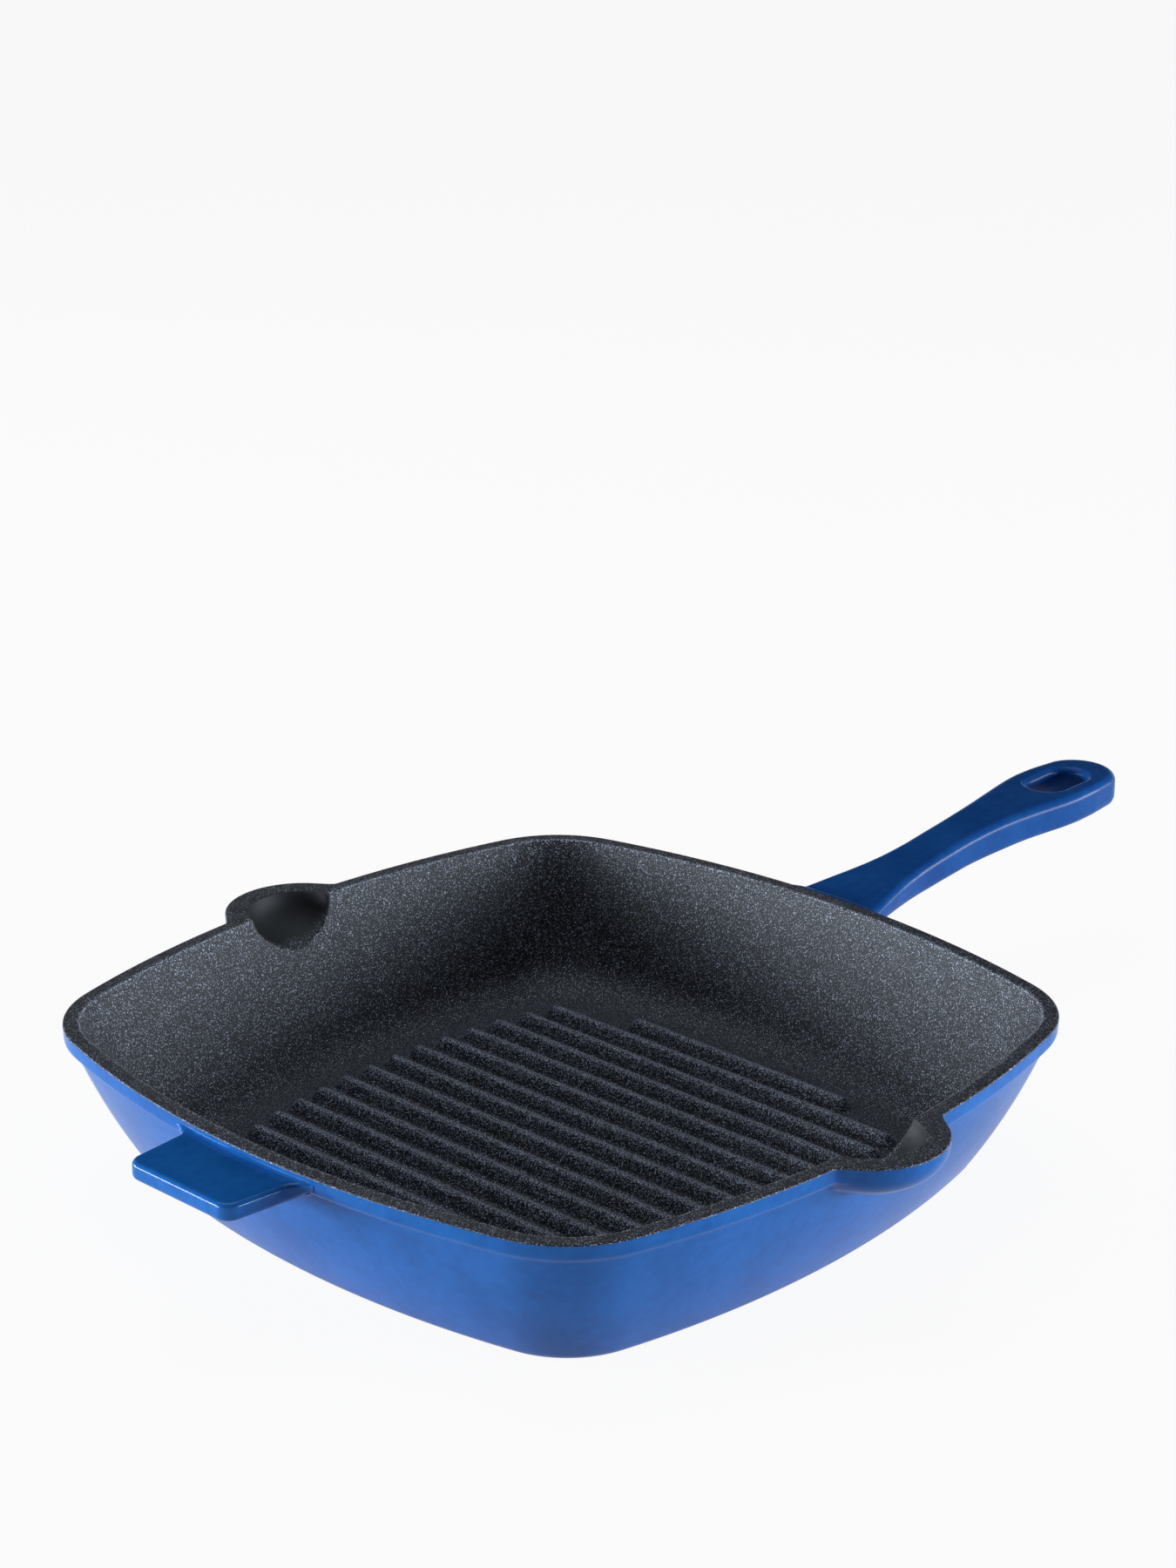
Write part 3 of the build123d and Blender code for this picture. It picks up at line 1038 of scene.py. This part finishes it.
@dataclass
class LongHandle:
    """The long handle: a waisted grip that rises to a round end with a hanging hole."""

    reach: float = 277.0
    end_radius: float = 14.0
    hole_centre: float = 252.0
    hole_length: float = 25.0
    hole_width: float = 14.0
    mouth_radius: float = 2.6
    widths: Knots = (
        (125.4, 18.0), (128.0, 17.5), (136.0, 15.6), (144.0, 13.6),
        (152.0, 11.8), (160.0, 10.4), (168.0, 9.5), (178.0, 9.1),
        (190.0, 9.15), (200.0, 9.5), (208.0, 10.1), (216.0, 11.0),
        (224.0, 12.2), (232.0, 13.5), (240.0, 14.7), (247.0, 15.2),
        (254.0, 15.0), (260.0, 14.4), (265.7, 13.69),
    )
    top_levels: Knots = (
        (125.4, 49.9), (132.0, 50.4), (144.0, 51.9), (160.0, 53.7),
        (176.0, 55.6), (192.0, 57.6), (208.0, 59.1), (224.0, 60.0),
        (240.0, 60.5), (256.0, 60.8), (277.0, 60.85),
    )
    under_levels: Knots = (
        (125.4, 43.2), (136.0, 43.5), (160.0, 43.9), (168.0, 44.2),
        (176.0, 44.8), (192.0, 46.4), (208.0, 47.4), (224.0, 48.5),
        (240.0, 49.0), (256.0, 49.4), (277.0, 49.6),
    )
    nodes: Tuple[str, ...] = ("long_handle", "long_handle_enamel")
    skin: SkinSizes = SkinSizes(3.0, 3.2, 3.0, 0.6)
    paddle_x: float = 232.0
    paddle_spacing: float = 0.75
    grip_spacing: float = 1.4
    root_end_x: float = 134.0
    root_spacing: float = 0.7
    edge_steps: int = 1200
    end_steps: int = 400
    mouth_steps: int = 8
    wall_shares: Tuple[float, ...] = (0.33, 0.67)

    def edge(self) -> Array:
        """Plan points along the handle's own edge, from its root to the middle of its end."""
        width = smooth_curve(self.widths)
        x = np.linspace(self.widths[0][0], self.widths[-1][0], self.edge_steps)
        side = np.column_stack([x, width(x)])
        centre = self.reach - self.end_radius
        start = math.atan2(side[-1, 1], side[-1, 0] - centre)
        angles = np.linspace(start, 0.0, self.end_steps)[1:]
        end = np.column_stack(
            [centre + self.end_radius * np.cos(angles), self.end_radius * np.sin(angles)]
        )
        plan = np.concatenate([side, end])
        on_paddle = plan[:, 0] > self.paddle_x
        spacing = np.where(on_paddle, self.paddle_spacing, self.grip_spacing)
        spacing = np.where(plan[:, 0] < self.root_end_x, self.root_spacing, spacing)
        return even_points(plan, spacing)

    def slot_half(self, growth: float, shares: Array) -> Array:
        """Plan points round half of the hole, from its root side to its end side.

        Args:
            growth: how far outside the hole's own wall the points lie.
            shares: places along the half, from 0 to 1.

        Returns:
            The plan points, one for each place.
        """
        radius = self.hole_width / 2 + growth
        straight = (self.hole_length - self.hole_width) / 2
        total = math.pi * radius + 2 * straight
        points = []
        for share in shares:
            run = share * total
            quarter = math.pi / 2 * radius
            if run < quarter:
                angle = math.pi - run / radius
                points.append((-straight + radius * math.cos(angle), radius * math.sin(angle)))
            elif run < quarter + 2 * straight:
                points.append((-straight + run - quarter, radius))
            else:
                angle = math.pi / 2 - (run - quarter - 2 * straight) / radius
                points.append((straight + radius * math.cos(angle), radius * math.sin(angle)))
        return np.array(points) + np.array([self.hole_centre, 0.0])

    def build(self) -> Piece:
        """Builds the handle, with its hole's wall and rounded mouths."""
        outer = self.edge()
        mouth_start = self.hole_centre - self.hole_length / 2 - self.mouth_radius
        beyond = outer[:, 0] >= mouth_start
        beyond[np.argmax(beyond) :] = True
        first = int(np.argmax(beyond))
        run = running_length(step_lengths(outer[first:]))
        shares = run / run[-1]
        inner = np.column_stack([outer[:, 0], np.zeros(len(outer))])
        inner[first:] = self.slot_half(self.mouth_radius, shares)
        top = smooth_curve(self.top_levels)
        under = smooth_curve(self.under_levels)
        rows = close_root(loft_half(outer, inner, top, under, self.skin, 1.0))
        hole = self.hole_rows(shares, top, under)
        return joined_skin("long_handle_skin", (rows, mirrored(rows), hole, mirrored(hole)))

    def hole_rows(self, shares: Array, top: Curve, under: Curve) -> List[Array]:
        """Half of the hole: its upper mouth, its upright wall and its lower mouth."""
        highs: List[Array] = []
        lows: List[Array] = []
        for growth, turned in round_turn(self.mouth_radius, self.mouth_steps):
            plan = self.slot_half(growth, shares)
            highs.append(np.column_stack([plan, top(plan[:, 0]) - turned]))
            lows.append(np.column_stack([plan, under(plan[:, 0]) + turned]))
        wall = [highs[-1] + share * (lows[-1] - highs[-1]) for share in self.wall_shares]
        return list(np.stack(highs + wall + lows[::-1], axis=1))


@dataclass
class HelperHandle:
    """The helper handle: a flat tab with round corners and a flared root."""

    root_x: float = 124.7
    reach: float = 154.0
    end_half_width: float = 22.0
    root_half_width: float = 23.5
    flare_radius: float = 6.0
    corner_radius: float = 5.0
    top_level: float = 48.6
    under_level: float = 43.0
    nodes: Tuple[str, ...] = ("helper_handle", "helper_handle_enamel")
    flare_thickness: float = 2.6
    flare_x: float = 129.0
    gather_inset: float = 4.0
    turn_steps: int = 40
    edge_steps: int = 4000
    spacing: float = 0.5
    skin: SkinSizes = SkinSizes(1.5, 1.6, 1.4, 0.9, side_flow=0.0)

    def edge(self) -> Array:
        """Plan points along the tab's own edge, from its root to the middle of its outer side."""
        root_y = self.root_half_width + self.flare_radius
        points: List[Tuple[float, float]] = [(self.root_x, root_y)]
        for angle in quarter_turn(self.turn_steps):
            x = self.flare_x + self.flare_radius * (1 - math.cos(angle))
            points.append((x, root_y - self.flare_radius * math.sin(angle)))
        corner_x = self.reach - self.corner_radius
        corner_y = self.end_half_width - self.corner_radius
        for angle in quarter_turn(self.turn_steps)[::-1]:
            x = corner_x + self.corner_radius * math.cos(angle)
            points.append((x, corner_y + self.corner_radius * math.sin(angle)))
        points.append((self.reach, 0.0))
        coarse = np.array(points) * np.array([-1.0, 1.0])
        lengths = running_length(step_lengths(coarse))
        plan = interpolated(coarse, lengths, np.linspace(0.0, lengths[-1], self.edge_steps))
        return even_points(plan, np.full(len(plan), self.spacing))

    def build(self) -> Piece:
        """Builds the tab."""
        outer = self.edge()
        gather = self.reach - self.corner_radius - self.gather_inset
        inner = np.column_stack([np.maximum(outer[:, 0], -gather), np.zeros(len(outer))])
        top, under = (
            smooth_curve(((self.root_x, level), (self.reach, level)))
            for level in (self.top_level, self.under_level)
        )
        half = loft_half(outer, inner, top, under, self.skin, -1.0)
        rows = close_root([self.thinned(row) for row in half])
        return joined_skin("helper_handle_skin", (rows, mirrored(rows)))

    def thinned(self, row: Array) -> Array:
        """The same row, thinner towards a flare's end, so that it runs out on the collar's face."""
        past_side = np.clip((np.abs(row[:, 1]) - self.end_half_width) / self.flare_radius, 0.0, 1.0)
        ease = past_side**2 * (3 - 2 * past_side)
        thickness = self.top_level - self.under_level
        share = 1 - ease * (1 - self.flare_thickness / thickness)
        level = self.top_level - (self.top_level - row[:, 2]) * share
        return np.column_stack([row[:, 0], row[:, 1], level])


# The stage.


def heading(azimuth: float, elevation: float) -> Vector:
    """The unit vector at an azimuth and an elevation in degrees."""
    across = math.radians(azimuth)
    up = math.radians(elevation)
    return Vector((math.cos(across) * math.cos(up), math.sin(across) * math.cos(up), math.sin(up)))


@dataclass(frozen=True)
class Softbox:
    """A rectangular studio lamp behind white cloth."""

    name: str
    azimuth: float
    elevation: float
    distance: float
    width: float
    height: float
    brightness: float
    aim: Tuple[float, float, float] = (0.0, 0.0, 0.03)

    def build(self) -> None:
        """Hangs the lamp in its direction from the pan, turned to the point that it is aimed at."""
        deselect_all()
        place = heading(self.azimuth, self.elevation) * self.distance
        bpy.ops.object.light_add(type="AREA", location=place)
        lamp = newly_added(self.name)
        lamp.data.shape = "RECTANGLE"
        lamp.data.size = self.width
        lamp.data.size_y = self.height
        lamp.data.energy = self.brightness * math.pi * self.width * self.height
        lamp.rotation_euler = (Vector(self.aim) - place).to_track_quat("-Z", "Y").to_euler()


@dataclass
class Stage:
    """A pale floor, softboxes at both sides and above under a dark ceiling, and the camera."""

    camera_place: Tuple[float, float, float] = (-0.70752, -0.68768, 0.48800)
    azimuth: float = -46.277
    elevation: float = 20.171
    lens: float = 80.676
    sensor: float = 36.0
    camera_range: float = 50.0
    floor_size: float = 8.0
    floor_gap: float = 0.0002
    floor_colour: str = "#F4F4F4"
    floor_glow: float = 0.93
    floor_mirror_glow: float = 0.35
    world_light: float = 0.5
    ceiling_colour: str = "#1E1E1E"
    ceiling_radius: float = 3.2
    ceiling_edge: float = 7.0
    ceiling_segments: int = 48
    softboxes: Tuple[Softbox, ...] = (
        Softbox("right_softbox", -54.0, 7.2, 1.6, 1.6, 0.37, 17.5, (-0.15, -0.12, 0.03)),
        Softbox("left_softbox", 137.0, 7.2, 1.6, 1.6, 0.37, 22.0, (-0.2, -0.05, 0.03)),
        Softbox("top_softbox", 70.0, 74.0, 1.4, 1.0, 1.0, 1.7),
    )

    def build(self) -> None:
        """Builds the whole stage."""
        self.add_floor()
        self.add_ceiling()
        self.add_world()
        for softbox in self.softboxes:
            softbox.build()
        self.add_camera()

    def add_floor(self) -> None:
        """A wide pale floor that keeps a soft shadow under the pan."""
        deselect_all()
        bpy.ops.mesh.primitive_plane_add(size=self.floor_size, location=(0.0, 0.0, -self.floor_gap))
        floor = newly_added("floor")
        material, tree, _ = new_material("pale_floor")
        diffuse = add_node(tree, "BsdfDiffuse", {"Color": linear(self.floor_colour)})
        bright = add_node(tree, "Emission", {"Color": WHITE, "Strength": 1.0})
        share = self.background_share(tree, self.floor_glow, self.floor_mirror_glow)
        show_surface(tree, "MixShader", {0: share, 1: diffuse.outputs[0], 2: bright.outputs[0]})
        floor.data.materials.append(material)

    def background_share(self, tree: Tree, seen: float, mirrored: float) -> Socket:
        """How much of a surface is plain white background for each kind of ray.

        Args:
            tree: the node tree.
            seen: the share for the camera's own rays.
            mirrored: the share for what gloss and glass show.

        Returns:
            The share, which is zero for the rays that only light.
        """
        rays = add_node(tree, "LightPath")
        gloss = rays.outputs["Is Glossy Ray"]
        glass = rays.outputs["Is Transmission Ray"]
        in_mirror = calculate(tree, "MULTIPLY", calculate(tree, "MAXIMUM", gloss, glass), mirrored)
        in_view = calculate(tree, "MULTIPLY", rays.outputs["Is Camera Ray"], seen)
        return calculate(tree, "MAXIMUM", in_view, in_mirror)

    def add_ceiling(self) -> None:
        """A dark cloth dome over the lamps, so that level faces mirror no bright sky."""
        deselect_all()
        bpy.ops.mesh.primitive_uv_sphere_add(
            segments=self.ceiling_segments,
            ring_count=self.ceiling_segments // 2,
            radius=self.ceiling_radius,
        )
        dome = newly_added("ceiling")
        bpy.ops.object.mode_set(mode="EDIT")
        bpy.ops.mesh.select_all(action="SELECT")
        height = self.ceiling_radius * math.sin(math.radians(self.ceiling_edge))
        bpy.ops.mesh.bisect(plane_co=(0.0, 0.0, height), plane_no=(0.0, 0.0, 1.0), clear_inner=True)
        bpy.ops.object.mode_set(mode="OBJECT")
        material, tree, _ = new_material("dark_cloth")
        show_surface(tree, "BsdfDiffuse", {"Color": linear(self.ceiling_colour)})
        dome.data.materials.append(material)
        dome.visible_camera = False

    def add_world(self) -> None:
        """A white surround that is dimmer as a lamp than as a background."""
        world = bpy.data.worlds.new("studio")
        bpy.context.scene.world = world
        world.use_nodes = True
        tree = world.node_tree
        tree.nodes.clear()
        shown = self.background_share(tree, 1.0, 1.0)
        strength = calculate(tree, "MULTIPLY_ADD", shown, 1.0 - self.world_light, self.world_light)
        background = add_node(tree, "Background", {"Color": WHITE, "Strength": strength})
        add_node(tree, "OutputWorld", {"Surface": background.outputs[0]})

    def add_camera(self) -> None:
        """The camera, at the photograph's place and angle."""
        deselect_all()
        bpy.ops.object.camera_add(location=self.camera_place)
        camera = newly_added("camera")
        camera.data.lens = self.lens
        camera.data.sensor_width = self.sensor
        camera.data.sensor_fit = "AUTO"
        camera.data.clip_end = self.camera_range
        # The camera's own azimuth is measured from +Y, and its elevation downwards.
        forward = heading(self.azimuth + 90.0, -self.elevation)
        camera.rotation_euler = forward.to_track_quat("-Z", "Y").to_euler()
        bpy.context.scene.camera = camera


def main() -> None:
    """Builds the pan's pieces in order, then the stage."""
    logging.basicConfig(level=logging.INFO, format="%(message)s")
    bpy.context.scene.view_settings.view_transform = "Standard"
    finishes = Finishes.build()
    form = PanForm()
    shell = BlueShell(form)
    dress(shell.build(), finishes.blue, shell.nodes)
    lining = CookingSurface(form)
    dress(lining.build(), finishes.black, lining.nodes)
    RidgeField().build(finishes)
    handle = LongHandle()
    # The long handle takes the darker blue, which is painted shade.
    dress(handle.build(), finishes.shaded_blue, handle.nodes)
    tab = HelperHandle()
    dress(tab.build(), finishes.blue, tab.nodes)
    Stage().build()


if __name__ == "__main__":
    main()
